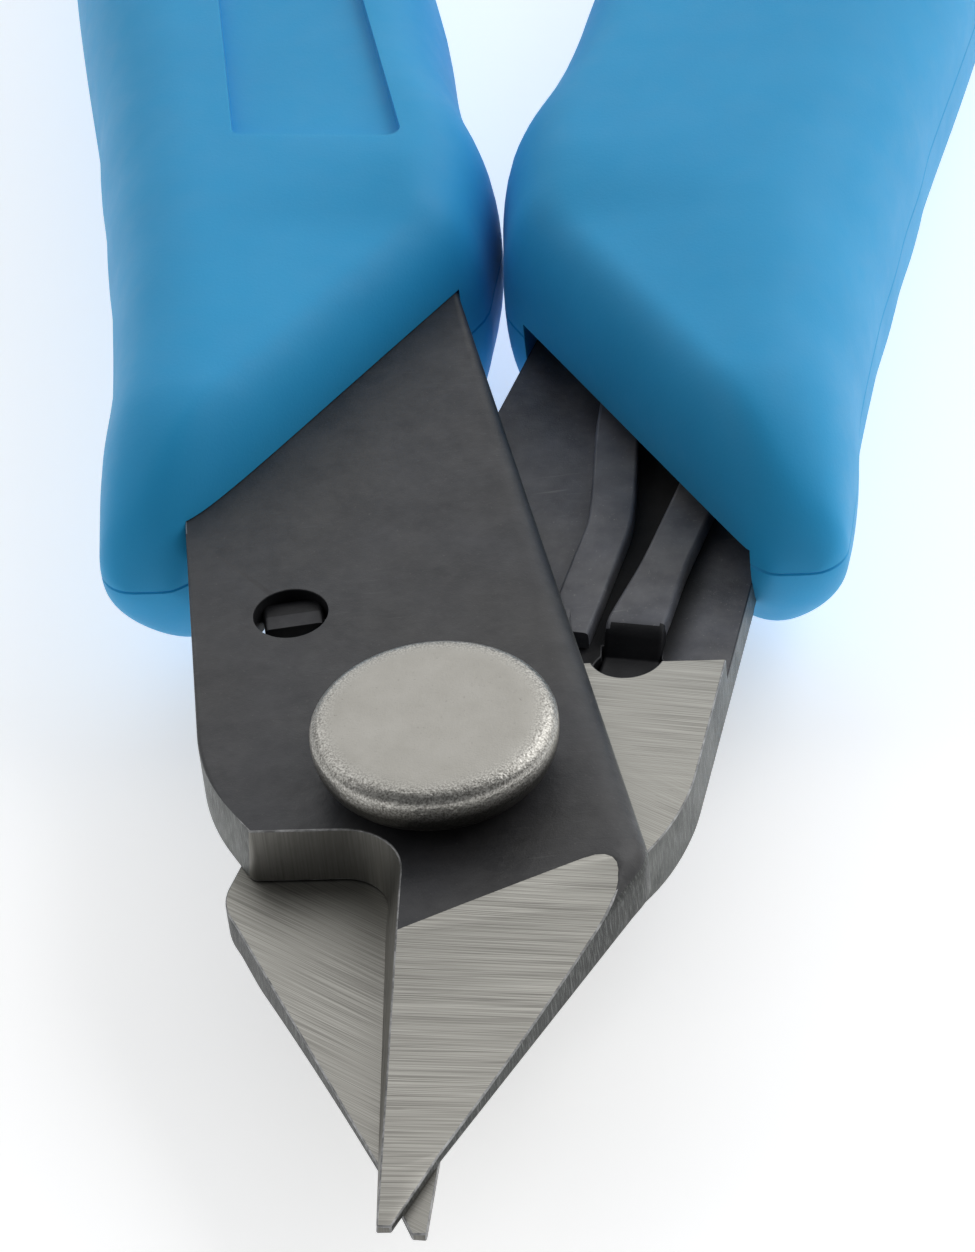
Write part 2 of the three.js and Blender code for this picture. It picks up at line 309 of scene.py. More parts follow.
def round_edges(obj, width, angle, material):
    """Rounds edges sharper than the angle, in another material, and keeps flat faces shading flat."""
    bevel = obj.modifiers.new("edges", "BEVEL")
    bevel.width = width
    bevel.segments = 2
    bevel.limit_method = "ANGLE"
    bevel.angle_limit = math.radians(angle)
    bevel.use_clamp_overlap = False
    bevel.material = obj.data.materials.find(material.name)
    apply_modifiers(obj)
    shade(obj)


def shade(obj, angle=40):
    """Shades smoothly across edges up to the angle, with normals led by the large faces."""
    obj.data.shade_smooth()
    obj.data.set_sharp_from_angle(angle=math.radians(angle))
    modifier = obj.modifiers.new("normals", "WEIGHTED_NORMAL")
    modifier.keep_sharp = True
    modifier.weight = 100


def paint(obj, face, material):
    face.material_index = obj.data.materials.find(material.name)


def finish_piece(obj, side, body, slot, *nodes):
    """Puts a piece made in half millimetres in its place, hangs it on the body it rides on, and hides the
    parts that it stands for.
    """
    obj.data.transform(HALVES[side])
    obj.data.update()
    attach(obj, body)
    if nodes:
        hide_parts(*nodes)


# ---- materials ---------------------------------------------------------------------------------------------

class Nodes:
    """A material's node tree, with short ways to add to it."""

    def __init__(self, name, **constants):
        self.material = bpy.data.materials.new(name)
        self.material.use_nodes = True
        self.tree = self.material.node_tree
        self.shader = self.tree.nodes["Principled BSDF"]
        for socket, value in constants.items():
            self.shader.inputs[socket.replace("_", " ")].default_value = value

    def add(self, kind, inputs=None, **settings):
        node = self.tree.nodes.new("ShaderNode" + kind)
        for key, value in settings.items():
            setattr(node, key, value)
        for key, value in (inputs or {}).items():
            if isinstance(value, bpy.types.NodeSocket):
                self.tree.links.new(value, node.inputs[key])
            else:
                node.inputs[key].default_value = value
        return node

    def link(self, output, socket):
        self.tree.links.new(output, self.shader.inputs[socket])

    def position(self, scale=(1, 1, 1), turn=0.0):
        """Millimetres from the pivot at rest, turned about z by degrees and then stretched."""
        vector = self.add("TexCoord").outputs["Object"]
        for socket, value in (
            ("Location", tuple(-c for c in PIVOT)),
            ("Rotation", (0, 0, math.radians(-turn))),
            ("Scale", tuple(s / MM for s in scale)),
        ):
            vector = self.add("Mapping", {"Vector": vector, socket: value}, vector_type="POINT").outputs[0]
        return vector

    def along(self, axis):
        """Millimetres from the pivot along one axis, 0 to 2."""
        return self.add("SeparateXYZ", {0: self.position()}).outputs[axis]

    def calc(self, operation, *values):
        return self.add("Math", dict(enumerate(values)), operation=operation).outputs[0]

    def fade(self, value, start, end, low=0.0, high=1.0, kind="LINEAR"):
        """Goes from low to high while the value goes from start to end."""
        inputs = {"Value": value, "From Min": start, "From Max": end, "To Min": low, "To Max": high}
        return self.add("MapRange", inputs, interpolation_type=kind).outputs[0]

    def noise(self, vector, scale, detail=2.0, roughness=0.5):
        inputs = {"Vector": vector, "Scale": scale, "Detail": detail, "Roughness": roughness}
        return self.add("TexNoise", inputs).outputs["Fac"]

    def ramp(self, fac, low, high):
        """Grey ramp between two stops, each a place and a value."""
        node = self.add("ValToRGB", {"Fac": fac})
        for element, (place, value) in zip(node.color_ramp.elements, (low, high)):
            element.position = place
            element.color = (value, value, value, 1)
        return node.outputs["Color"]

    def mix(self, fac, a, b):
        """From a to b, each a colour or an output, as an output goes from 0 to 1."""
        node = self.add("Mix", data_type="RGBA")
        for key, value in (("Factor", fac), ("A", a), ("B", b)):
            socket = next(s for s in node.inputs if s.name == key and s.enabled)
            if isinstance(value, tuple):
                socket.default_value = (*value, 1)
            else:
                self.tree.links.new(value, socket)
        return next(s for s in node.outputs if s.name == "Result" and s.enabled)

    def bump(self, height, strength, distance_mm, below=None):
        inputs = {"Height": height, "Strength": strength, "Distance": distance_mm * MM}
        if below is not None:
            inputs["Normal"] = below
        return self.add("Bump", inputs).outputs["Normal"]


def tint(level, *colour):
    """A colour scaled by a level."""
    return tuple(level * c for c in colour)


def spring_shadow_mask(n):
    """1 where the recess floor lies between the spring's legs or just outside them, 0 elsewhere: where the
    legs' painted shadow falls.
    """
    slant = n.calc("MULTIPLY_ADD", n.along(1), -0.172, -3.26)
    beside = n.calc("ADD", n.calc("ABSOLUTE", n.along(0)), slant)
    inner = n.fade(beside, -1.9, -0.4, kind="SMOOTHSTEP")
    outer = n.fade(beside, 3.1, 1.9, kind="SMOOTHSTEP")
    return n.calc("MULTIPLY", inner, outer)


def oxide_tone(n, where, base):
    """Mottled bluish and brownish black, with light specks and patches of light scratches."""
    blotches = n.ramp(n.noise(where, 0.55, 5, 0.62), (0.36, 0.0), (0.66, 1.0))
    clouds = n.ramp(n.noise(where, 0.18, 3), (0.35, 0.0), (0.65, 1.0))
    cool = n.mix(blotches, tint(base, 0.7, 0.74, 0.9), tint(base, 1.28, 1.31, 1.5))
    warm = n.mix(blotches, tint(base, 0.78, 0.77, 0.82), tint(base, 1.45, 1.42, 1.43))
    specks = n.ramp(n.noise(where, 7.5, 4, 0.75), (0.62, 0.0), (0.76, 1.0))
    tone = n.mix(specks, n.mix(clouds, cool, warm), tint(base, 2.9, 2.8, 2.7))
    scratches = n.ramp(n.noise(n.position((0.5, 9.0, 9.0), 8), 1.0, 2, 0.6), (0.62, 0.0), (0.7, 1.0))
    patches = n.ramp(n.noise(where, 0.3), (0.5, 0.0), (0.7, 0.5))
    return n.mix(n.mix(scratches, BLACK, patches), tone, tint(base, 2.4, 2.4, 2.4))


def black_oxide(name, base, grain=1.0, leg_shadow=0.0, gloss=0.5):
    """Satin blackened steel with a tumbled grain.

    With a leg shadow share, the finish is painted darker and rougher beside the spring's legs: a painted
    shadow that the legs cast on the recess floor.
    """
    n = Nodes(name, IOR=1.5, Specular_IOR_Level=gloss)
    where = n.position()
    # painted shadow beside the spring's legs, in the colour and the roughness
    dark = n.calc("MULTIPLY", spring_shadow_mask(n), leg_shadow)
    n.link(n.mix(dark, oxide_tone(n, where, base), (0.006, 0.006, 0.006)), "Base Color")
    satin = n.ramp(n.noise(where, 1.6, 5, 0.7), (0.3, 0.36), (0.72, 0.54))
    n.link(n.mix(dark, satin, (0.95, 0.95, 0.95)), "Roughness")
    coarse = n.bump(n.noise(where, 2.6, 3, 0.55), 0.3 * grain, 0.05)
    n.link(n.bump(n.noise(where, 15, 3, 0.65), 0.5 * grain, 0.015, coarse), "Normal")
    return n.material


def brushed(n, fine, wide, scratch, tone, contrast):
    """Shared look of ground steel: streaks in tone, roughness and height, a few scratches, and painted shade
    darkening the tip.
    """
    low, high, scar = (tone * (1 + step * contrast) for step in (-0.3, 0.24, -0.6))
    fine_fac = n.ramp(fine, (0.3, 0.0), (0.7, 1.0))
    wide_fac = n.ramp(wide, (0.4, 0.0), (0.64, 0.14 * contrast))
    scratch_fac = n.ramp(scratch, (0.64, 0.0), (0.7, 0.45 * contrast))
    light = n.mix(fine_fac, tint(low, 1, 0.975, 0.89), tint(high, 1, 0.98, 0.9))
    light = n.mix(wide_fac, light, tint(low, 1, 0.975, 0.88))
    light = n.mix(scratch_fac, light, tint(scar, 1, 0.96, 0.88))
    # painted shade: the colour darkens towards the tip
    tip = n.fade(n.along(1), -5.0, -17.0, high=0.2)
    n.link(n.mix(tip, light, tint(tone, 0.3, 0.27, 0.24)), "Base Color")
    n.link(n.ramp(fine, (0.25, 0.54), (0.75, 0.4)), "Roughness")
    n.link(n.bump(fine, 0.4 * contrast, 0.008, n.bump(wide, 0.2, 0.02)), "Normal")
    return n.material


def streaks(n, turn, streak=FINE_STREAK):
    """Fine, wide and scratchy noise, each drawn out along x turned by some degrees."""
    along, *across = streak
    fine = n.noise(n.position(streak, turn), 1.0, 1)
    wide = n.noise(n.position((along * 0.8, *(a * 0.14 for a in across)), turn), 1.0)
    scratch = n.noise(n.position((along * 1.2, *(a * 0.5 for a in across)), turn + 1.5), 1.0, 1, 0.4)
    return fine, wide, scratch


def ground_steel(name, turn, tone, streak=FINE_STREAK, contrast=1.0):
    """Bright steel with grinding marks in one direction."""
    n = Nodes(name, Metallic=1.0)
    return brushed(n, *streaks(n, turn, streak), tone, contrast)


def lapped_steel(name, jaw_turn, pad_turn, tone):
    """Inner face of an arm: the grinding marks slant more on the jaw than on the pad behind the pivot."""
    n = Nodes(name, Metallic=1.0)
    pad = n.fade(n.along(1), -1.0, 4.0, kind="SMOOTHSTEP")
    mixed = [n.mix(pad, jaw, behind) for jaw, behind in zip(streaks(n, jaw_turn), streaks(n, pad_turn))]
    return brushed(n, *mixed, tone, 0.8)


def worn_edge(name):
    """Thin line along an edge where the black finish has partly rubbed off."""
    n = Nodes(name, Metallic=0.6)
    where = n.position()
    n.link(n.ramp(n.noise(where, 1.7, 5, 0.7), (0.36, 0.14), (0.62, 0.4)), "Base Color")
    n.link(n.ramp(n.noise(where, 6), (0.3, 0.35), (0.7, 0.5)), "Roughness")
    return n.material


def blanked_side(name):
    """Side wall left by blanking: dull greenish grey, painted darker on the jaw as shade, scored across the
    thickness.
    """
    n = Nodes(name, Metallic=0.6)
    scored = n.noise(n.position((13.0, 13.0, 1.6)), 1.0, 4, 0.7)
    patches = n.ramp(n.noise(n.position(), 0.6, 4, 0.6), (0.35, 0.0), (0.65, 1.0))
    dull = n.mix(patches, (0.075, 0.08, 0.076), (0.15, 0.157, 0.15))
    # painted shade on the jaw's side wall, which faces away from the light
    jaw = n.fade(n.along(1), -2.0, -5.0, high=0.75)
    dull = n.mix(jaw, dull, (0.018, 0.019, 0.018))
    n.link(n.mix(n.ramp(scored, (0.5, 0.0), (0.74, 0.45)), dull, (0.30, 0.31, 0.295)), "Base Color")
    n.link(n.ramp(scored, (0.3, 0.55), (0.7, 0.38)), "Roughness")
    n.link(n.bump(scored, 0.7, 0.03), "Normal")
    return n.material


def tumbled_steel(name):
    """The rivet: matte on its flat end, brighter and finely dented around the rim, and painted dark on its
    side as shade.
    """
    n = Nodes(name, Metallic=1.0)
    where = n.position()
    radius = n.add("VectorMath", {0: n.position((1, 1, 0))}, operation="LENGTH").outputs["Value"]
    rim = n.fade(radius, RIVET_R - 0.85, RIVET_R - 0.35)
    # painted shade on the head's side below the shoulder
    side = n.fade(n.calc("ABSOLUTE", n.along(2)), RIVET_TOP - 0.6, RIVET_TOP - 1.05)
    grain = n.noise(where, 15, 2, 0.6)
    clouds = n.ramp(n.noise(where, 0.7, 4, 0.6), (0.3, 0.0), (0.7, 1.0))
    pits = n.ramp(n.noise(where, 5.5, 5, 0.8), (0.6, 0.0), (0.72, 0.7))
    tone = n.mix(clouds, (0.41, 0.396, 0.362), (0.46, 0.446, 0.412))
    tone = n.mix(pits, tone, (0.24, 0.23, 0.205))
    rim_tone = n.mix(n.ramp(grain, (0.36, 0.0), (0.64, 1.0)), (0.16, 0.153, 0.138), (0.66, 0.645, 0.60))
    tone = n.mix(n.calc("MULTIPLY", rim, 0.7), tone, rim_tone)
    n.link(n.mix(n.calc("MULTIPLY", side, 0.85), tone, (0.05, 0.048, 0.043)), "Base Color")
    n.link(n.fade(rim, 0.0, 1.0, 0.52, 0.38), "Roughness")
    dents = n.bump(n.noise(where, 4.5, 3, 0.6), n.calc("MULTIPLY_ADD", rim, 0.6, 0.35), 0.03)
    n.link(n.bump(grain, 0.7, 0.012, dents), "Normal")
    return n.material


def moulded_rubber(name):
    """Matte blue grip: a fine moulded texture, with slight changes of tone and sheen."""
    n = Nodes(name, Subsurface_Weight=0.12, Subsurface_Scale=0.0012, Specular_IOR_Level=0.3,
              Sheen_Weight=0.12, Sheen_Roughness=0.4)
    n.shader.inputs["Subsurface Radius"].default_value = (0.4, 0.8, 1.0)
    n.shader.inputs["Sheen Tint"].default_value = (0.75, 0.88, 1.0, 1)
    where = n.position()
    cloud = n.ramp(n.noise(where, 0.12, 3), (0.3, 0.0), (0.7, 1.0))
    tone = n.mix(cloud, (0.02, 0.365, 0.72), (0.028, 0.405, 0.78))
    dust = n.ramp(n.noise(where, 3.1, 5, 0.8), (0.66, 0.0), (0.8, 0.3))
    n.link(n.mix(dust, tone, (0.07, 0.45, 0.77)), "Base Color")
    n.link(n.ramp(n.noise(where, 0.8, 4, 0.6), (0.3, 0.5), (0.7, 0.62)), "Roughness")
    slow = n.bump(n.noise(where, 0.9), 0.12, 0.05)
    n.link(n.bump(n.noise(where, 9.0, 3, 0.6), 0.3, 0.02, slow), "Normal")
    return n.material


def paper_floor(name):
    n = Nodes(name, Roughness=0.9, Emission_Strength=0.55)
    paper = n.mix(n.noise(n.position(), 0.02), (0.88, 0.885, 0.89), (0.91, 0.91, 0.91))
    n.link(paper, "Base Color")
    n.link(paper, "Emission Color")
    return n.material


# ---- arms --------------------------------------------------------------------------------------------------

def arm_outline(notch_x, notch_y, notch_r, ear_r, cut_x, tip_x):
    """Plan outline of one face of the arm; the notch and the cutting side differ between the faces.

    The notch runs at notch_y from a round corner by the cutting side to the ear, a small corner at notch_x.
    """
    return fillet([
        (tip_x, TIP_Y, 0),
        (cut_x, notch_y - 2.6, 0),
        (cut_x + 0.04, notch_y, notch_r),
        (notch_x, notch_y - 0.02, ear_r),
        (7.82, -0.07, 9),
        (9.72, 12.6, 20),
        (12.2, 30, 40),
        (13.7, 45, 60),
        (16.6, 60, 60),
        (18.6, 75, 60),
        (19.8, SHANK_END_Y, 3),
        (13.8, SHANK_END_Y, 3),
        (12.2, 75, 60),
        (9.9, 60, 60),
        (6.9, 45, 60),
        (1.35, 27, 20),
        (-6.95, -3.9, 1.9),
        (-6.3, -5.05, 1.8),
        (-0.95, -15.4, 4),
        (0.29, TIP_Y, 0),
    ])


def roll_width(x, y):
    """How much blanking has rolled the outer face's edge over: most around the outer corner of the jaw."""
    jaw = smoothstep(-x, 0.3, 3.0) * smoothstep(-y, 0.0, 3.6)
    return ROLL_WIDTH * jaw + ROLL_REST * (1 - jaw) * smoothstep(y, -2, 1) * (x < 9)


def arm_blank(name, inner, outer, low):
    """Loft from the inner face to the outer face, whose rolled edge is drawn in step by step."""
    inner = np.array(inner)
    outer = np.array(outer)
    along = np.roll(outer, -1, 0) - np.roll(outer, 1, 0)
    inward = np.stack([-along[:, 1], along[:, 0]], 1) / np.linalg.norm(along, axis=1)[:, None]
    roll = np.array([roll_width(x, y) for x, y in outer])
    levels = [(FACE, inner)]
    for k in range(ROLL_STEPS + 1):
        a = math.pi / 2 * (1 - k / ROLL_STEPS)
        drop = ROLL_DEPTH * roll * (1 - math.cos(a))
        blend = ((FACE - low - drop) / (FACE - low))[:, None]
        plan = inner + (outer - inner) * blend + inward * (roll * (1 - math.sin(a)))[:, None]
        levels.append((low + drop, plan))
    n = len(inner)
    vertices = []
    for z, plan in levels:
        vertices += [(x, y, h) for (x, y), h in zip(plan, np.broadcast_to(z, n))]
    looks = (OXIDE, GROUND_FACE, GROUND_WALL, WORN_EDGE, BLANKED_SIDE)
    return new_object(name, vertices, tube_faces(n, len(levels)), *looks)


def grinding_wheel():
    """The wheel whose rim leaves the jaw's outer face hollow, running out to a thin tip."""
    wheel = cylinder("wheel", GROUND_BEVEL, WHEEL_R, WHEEL_REACH, 720)
    along = Vector(WHEEL_AXIS).to_track_quat("Z", "Y").to_matrix().to_4x4()
    wheel.data.transform(Matrix.Translation(WHEEL_AT) @ along)
    return wheel


def recess_cutters():
    """What is cut from the arm's inner face for the spring: its recess around the stop, and the pocket."""
    (left, right), (near, far) = RELIEF_X, RELIEF_Y
    outline = [
        (left, near), (STOP_X[0], near), (STOP_X[0], STOP_Y), (STOP_X[1], STOP_Y), (STOP_X[1], near),
        (right, near), (right, far), (left, far),
    ]
    floor = FACE - RELIEF
    # the recess's faces take the oxide with the legs' painted shadow
    relief = prism("relief", RECESS_WITH_LEG_SHADOW, floor, 1, outline)
    # The pocket's faces are painted near-black, as shade.
    pocket = prism("pocket", PAINTED_SHADE_BLACK, floor - POCKET_DEPTH, 0, box_outline(POCKET_X, POCKET_Y))
    return relief, pocket


def make_arm(side):
    arm = arm_blank(f"{side}_blade", arm_outline(**INNER_PLAN), arm_outline(**OUTER_PLAN), FACE - PLATE)
    mark_faces(arm)
    relief, pocket = recess_cutters()
    bore = cylinder("bore", OXIDE, BORE_R, CLEAR, 96)
    # The hole's wall is painted near-black, as shade.
    hole = cylinder("hole", PAINTED_SHADE_BLACK, HOLE_R, CLEAR, 64)
    hole.data.transform(Matrix.Translation((*HOLE, 0)))
    cut(arm, grinding_wheel(), relief, bore, hole, pocket)
    round_edges(arm, EDGE, 40, WORN_EDGE)
    keep_black(arm)
    finish_piece(arm, side, f"{side}_half", "oxide_steel", f"{side}_arm")


def mark_faces(arm):
    """The inner face and the wall of the notch and cutting side are bright; the outer face stays black."""
    for face in arm.data.polygons:
        middle = face.center
        wall = abs(face.normal.z) < 0.5
        if face.normal.z > 0.9:
            paint(arm, face, GROUND_FACE)
        elif wall and middle.y < -2.8 and middle.x > 0.3:
            paint(arm, face, GROUND_WALL)
        elif wall:
            paint(arm, face, BLANKED_SIDE)


def keep_black(arm):
    """Edges in the recess and around the hole keep their black finish."""
    for face in arm.data.polygons:
        middle = face.center
        in_recess = middle.y > RELIEF_Y[0] - 2 * EDGE and middle.z > FACE - RELIEF - 2 * EDGE
        at_hole = math.hypot(middle.x - HOLE[0], middle.y - HOLE[1]) < HOLE_R + 0.12
        if arm.data.materials[face.material_index] == WORN_EDGE and (in_recess or at_hole):
            paint(arm, face, OXIDE)


# ---- rivet -------------------------------------------------------------------------------------------------

def rivet_profile():
    """Radius and height from the middle of a head's flat end to the shank, where the head sits on the arm."""
    flat_r = RIVET_R - RIVET_SHOULDER
    side_z = RIVET_TOP - RIVET_SHOULDER
    rise = RIVET_SHOULDER - 0.04
    shares = [k / RIVET_STEPS for k in range(1, RIVET_STEPS + 1)]
    profile = [(0, RIVET_TOP), (1.6, RIVET_TOP), (2.9, RIVET_TOP), (flat_r, RIVET_TOP - 0.02)]
    for t in shares:
        a = math.pi / 2 * (1 - t)
        profile.append((flat_r + RIVET_SHOULDER * math.cos(a), side_z + rise * math.sin(a)))
    for t in shares:
        profile.append((RIVET_R - (RIVET_R - RIVET_SEAT_R) * t ** 3, side_z + (RIVET_SEAT - side_z) * t))
    return profile + [(BORE_R - 0.05, RIVET_SEAT)]


def make_rivet():
    """Two heads on one shank: flat end, small round shoulder, side drawn in towards the arm."""
    head = rivet_profile()
    rivet = lathe("rivet", RIVET, head + [(r, -z) for r, z in reversed(head)], 160)
    shade(rivet, 50)
    finish_piece(rivet, "rear", "rear_half", "rivet_steel", "pivot_rivet")


# ---- springs -----------------------------------------------------------------------------------------------

def strip_section():
    """Flat strip's section with small round corners, as (across, through)."""
    points = []
    for quarter in range(4):
        cx = (STRIP_W / 2 - STRIP_CORNER) * (1 if quarter in (0, 3) else -1)
        cz = (STRIP_T / 2 - STRIP_CORNER) * (1 if quarter in (0, 1) else -1)
        for k in range(4):
            a = math.pi / 2 * (quarter + k / 3)
            points.append((cx + STRIP_CORNER * math.cos(a), cz + STRIP_CORNER * math.sin(a)))
    return points


def sweep_strip(name, line, flare=0.0):
    """Strip along a 3-D line; its flat side stays level except where the line turns down or up.

    With a flare, the strip widens towards its end by the pivot.
    """
    section = strip_section()
    rings = []
    across = Vector((1, 0, 0))
    for i, here in enumerate(line):
        along = (line[min(i + 1, len(line) - 1)] - line[max(i - 1, 0)]).normalized()
        level = Vector((along.x, along.y, 0))
        if level.length > 0.5:
            across = Vector((level.y, -level.x, 0)).normalized()
        through = across.cross(along)
        wider = 1 + flare * (1 - smoothstep(here.y, *FLARE_Y))
        rings.append([here + across * u * wider + through * v for u, v in section])
    vertices = [v for ring in rings for v in ring]
    faces = tube_faces(len(section), len(rings))
    strip = new_object(name, vertices, faces, SPRING, PAINTED_SHADE_BLACK, TANG_FOOT_SHADE)
    shade(strip, 55)
    return strip


def hook(start, towards, radius, degrees, drop):
    """Points of a double bend from a level line: down by some degrees, then level again lower by `drop`."""
    forward = Vector(towards).normalized()
    down = Vector((0, 0, -1))
    bend = [math.radians(degrees) * k / HOOK_STEPS for k in range(HOOK_STEPS + 1)]
    first = [forward * radius * math.sin(a) + down * radius * (1 - math.cos(a)) for a in bend]
    turned = first[-1]
    straight = (drop - 2 * turned.dot(down)) / math.tan(bend[-1])
    end = forward * (2 * turned.dot(forward) + straight) + down * drop
    second = [end - v for v in first[::-1]]
    return [start + v for v in first[1:] + second]


def level_curve(points):
    return spline([(x, y, STRIP_MID) for x, y in points])


def make_anchored_leg(side):
    """Leg that stays on its arm; its tang is hooked down and ends level in the arm's hole."""
    line = level_curve(ANCHORED_LEG)
    tang = hook(line[0], TANG_TOWARDS, TANG_BEND_R, TANG_BEND, TANG_DROP)
    for y in (TANG_LEVEL_Y, TANG_END_Y):
        tang.append(tang[-1] + TANG_TOWARDS * (tang[-1].y - y))
    leg = sweep_strip(f"{side}_spring_leg", tang[::-1] + line, FLARE)
    # Painted shade on the tang: its bend near-black, its foot's underside darker than the rest of the strip.
    for face in leg.data.polygons:
        if face.center.y < TANG_LEVEL_Y and face.normal.z < -0.8:
            paint(leg, face, TANG_FOOT_SHADE)
        elif face.center.y < TANG_BEND_Y:
            paint(leg, face, PAINTED_SHADE_BLACK)
    finish_piece(leg, side, f"{side}_half", "spring_steel", f"{side}_spring_anchored_leg")


def make_free_leg(side):
    """Leg that moves with the other arm."""
    leg = sweep_strip(f"{side}_spring_free_leg", level_curve(FREE_LEG))
    finish_piece(leg, side, f"{side}_free_leg", "spring_steel", f"{side}_spring_moving_leg")


def make_bend(side):
    """The hairpin's bend inside the grip, which blends from one leg to the other."""
    x, y = LOOP
    angles = np.linspace(0, math.pi, LOOP_POINTS)
    arc = [Vector((x + LOOP_R * math.cos(a), y + LOOP_R * math.sin(a), STRIP_MID)) for a in angles]
    bend = sweep_strip(f"{side}_spring_bend", arc)
    bend.data.transform(HALVES[side])
    bend.data.update()
    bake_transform(bend)


def make_tab(side):
    """The free leg's end turned across the meeting plane, which pushes the other arm's stop."""
    tab = prism(f"{side}_spring_tab", SPRING, STRIP_MID, TAB_TOP, box_outline(TAB_X, TAB_Y, TAB_CORNER))
    shade(tab)
    finish_piece(tab, side, f"{side}_free_leg", "spring_steel")


# ---- grips -------------------------------------------------------------------------------------------------

def grip_half_width(y):
    """Half width across the grip's axis: it swells behind the mouth and tapers towards the far end."""
    return (7.15 + 0.55 * smoothstep(y, 26, 33) - 0.25 * smoothstep(y, 33.5, 38)
            - 1.4 * smoothstep(y, 42, 98))


def dome(distance, run):
    """Goes from 0 to 1 over the run like a quarter of an ellipse."""
    u = np.clip(distance / run, 0, 1)
    return np.sqrt(1 - (1 - u) ** 2)


def pillow(distance, run):
    """Like the dome, but fuller."""
    u = np.clip(distance / run, 0, 1)
    return (1 - (1 - u) ** PILLOW) ** (1 / PILLOW)


def smooth_max(a, b, width):
    """The larger of two values, with the change between them rounded over a width."""
    return np.maximum(a, b) + width * np.log1p(np.exp(-np.abs(a - b) / width))


def grip_plan():
    """Rows across the grip: y, inner edge and outer edge, from the nose to the far end, closer at both."""
    axis = np.array([p[:2] for p in spline([(x, y, 0) for x, y in GRIP_AXIS], 24)])
    u = np.linspace(0, 1, GRIP_ROWS)
    y = GRIP_NOSE_Y + (GRIP_END_Y - GRIP_NOSE_Y) * (u - 0.9 * np.sin(2 * np.pi * u) / (2 * np.pi))
    centre = np.interp(y, axis[:, 1], axis[:, 0])
    half = grip_half_width(y) * dome(GRIP_END_Y - y, 6.2)
    (x1, y1), (x2, y2) = MOUTH
    mouth = x1 + (y - y1) * (x2 - x1) / (y2 - y1)
    mouth = -smooth_max(-mouth, np.full_like(mouth, -NOSE_X), 0.05)
    waist = 0.3 * (smoothstep(y, 32.5, 36) - smoothstep(y, 39, 45))
    hollow = 0.1 * smoothstep(y, 15, 19) + 0.22 * (smoothstep(y, 17, 21) - smoothstep(y, 31, 36))
    inner_corner = 0.9 * (1 - dome(y - GRIP_NOSE_Y, 0.9))
    outer_corner = 1.2 * (1 - dome(y - GRIP_NOSE_Y, 1.3))
    inner = smooth_max(centre - half + waist, mouth, 0.18) + inner_corner
    outer = centre + half + 0.1 - hollow - outer_corner
    return y, inner, outer


def grip_height(x, y, inner, outer):
    """Half thickness of the grip: rounded up from the mouth and sides, lower near the mouth and nose."""
    (x1, y1), (x2, y2) = MOUTH
    by_mouth = 1 - smoothstep(y, y1 - 1, y1 + 4)
    square = 1 - by_mouth * (1 - (y1 - y2) / math.hypot(x2 - x1, y1 - y2))
    d_in = (x - inner) * square
    shoulder = pillow(d_in, 3.4 - 1.3 * by_mouth) * pillow(outer - x, 4.4)
    ends = dome(y - GRIP_NOSE_Y, 5.5) * dome(GRIP_END_Y - y, 5.8)
    crown = 1 - 0.15 * by_mouth * (1 - smoothstep(d_in, 0, 9))
    return GRIP_H * shoulder * ends * crown


def grip_blank(name):
    """Two sheets, above and below the parting line, joined by a fine groove around the outline."""
    y, inner, outer = grip_plan()
    across = (1 - np.cos(np.pi * np.linspace(0, 1, GRIP_COLUMNS))) / 2
    x = inner[:, None] + (outer - inner)[:, None] * across
    rows = np.broadcast_to(y[:, None], x.shape)
    height = np.maximum(grip_height(x, rows, inner[:, None], outer[:, None]), PARTING)
    count = x.size
    index = np.arange(count).reshape(x.shape)
    rim = [*index[0, :-1], *index[:-1, -1], *index[-1, :0:-1], *index[:0:-1, 0]]
    plan = np.stack([x.ravel(), rows.ravel()], 1)
    line = plan[rim]
    along = np.roll(line, -1, 0) - np.roll(line, 1, 0)
    length = np.maximum(np.linalg.norm(along, axis=1), 1e-9)
    inward = np.stack([-along[:, 1], along[:, 0]], 1) / length[:, None]
    groove = line + inward * PARTING
    vertices = [(*p, h) for p, h in zip(plan, height.ravel())]
    vertices += [(*p, -h) for p, h in zip(plan, height.ravel())]
    vertices += [(*p, 0) for p in groove]
    faces = []
    for start in (0, count):
        grid = index + start
        corners = [grid[:-1, :-1], grid[:-1, 1:], grid[1:, 1:], grid[1:, :-1]]
        faces += np.stack(corners, -1).reshape(-1, 4).tolist()
    n = len(rim)
    for start in (0, count):
        for k in range(n):
            a, b = rim[k] + start, rim[(k + 1) % n] + start
            faces.append((a, b, 2 * count + (k + 1) % n, 2 * count + k))
    grip = new_object(name, vertices, [tuple(int(i) for i in f) for f in faces], GRIP, SLOT_RUBBER)
    clean(grip.data, 0.002)
    return grip


def panel_cutter():
    """Plain sunk panel that follows the handle; its walls slope a little."""
    floor = fillet([(x, y, 0.5 if i in PANEL_ENDS else 12) for i, (x, y) in enumerate(PANEL)])
    mouth = [tuple(PANEL_CENTRE + (Vector(p) - PANEL_CENTRE) * PANEL_SLOPE) for p in floor]
    return prism("panel", GRIP, -GRIP_H - 1.5, -GRIP_H + PANEL_DEPTH, mouth, floor)


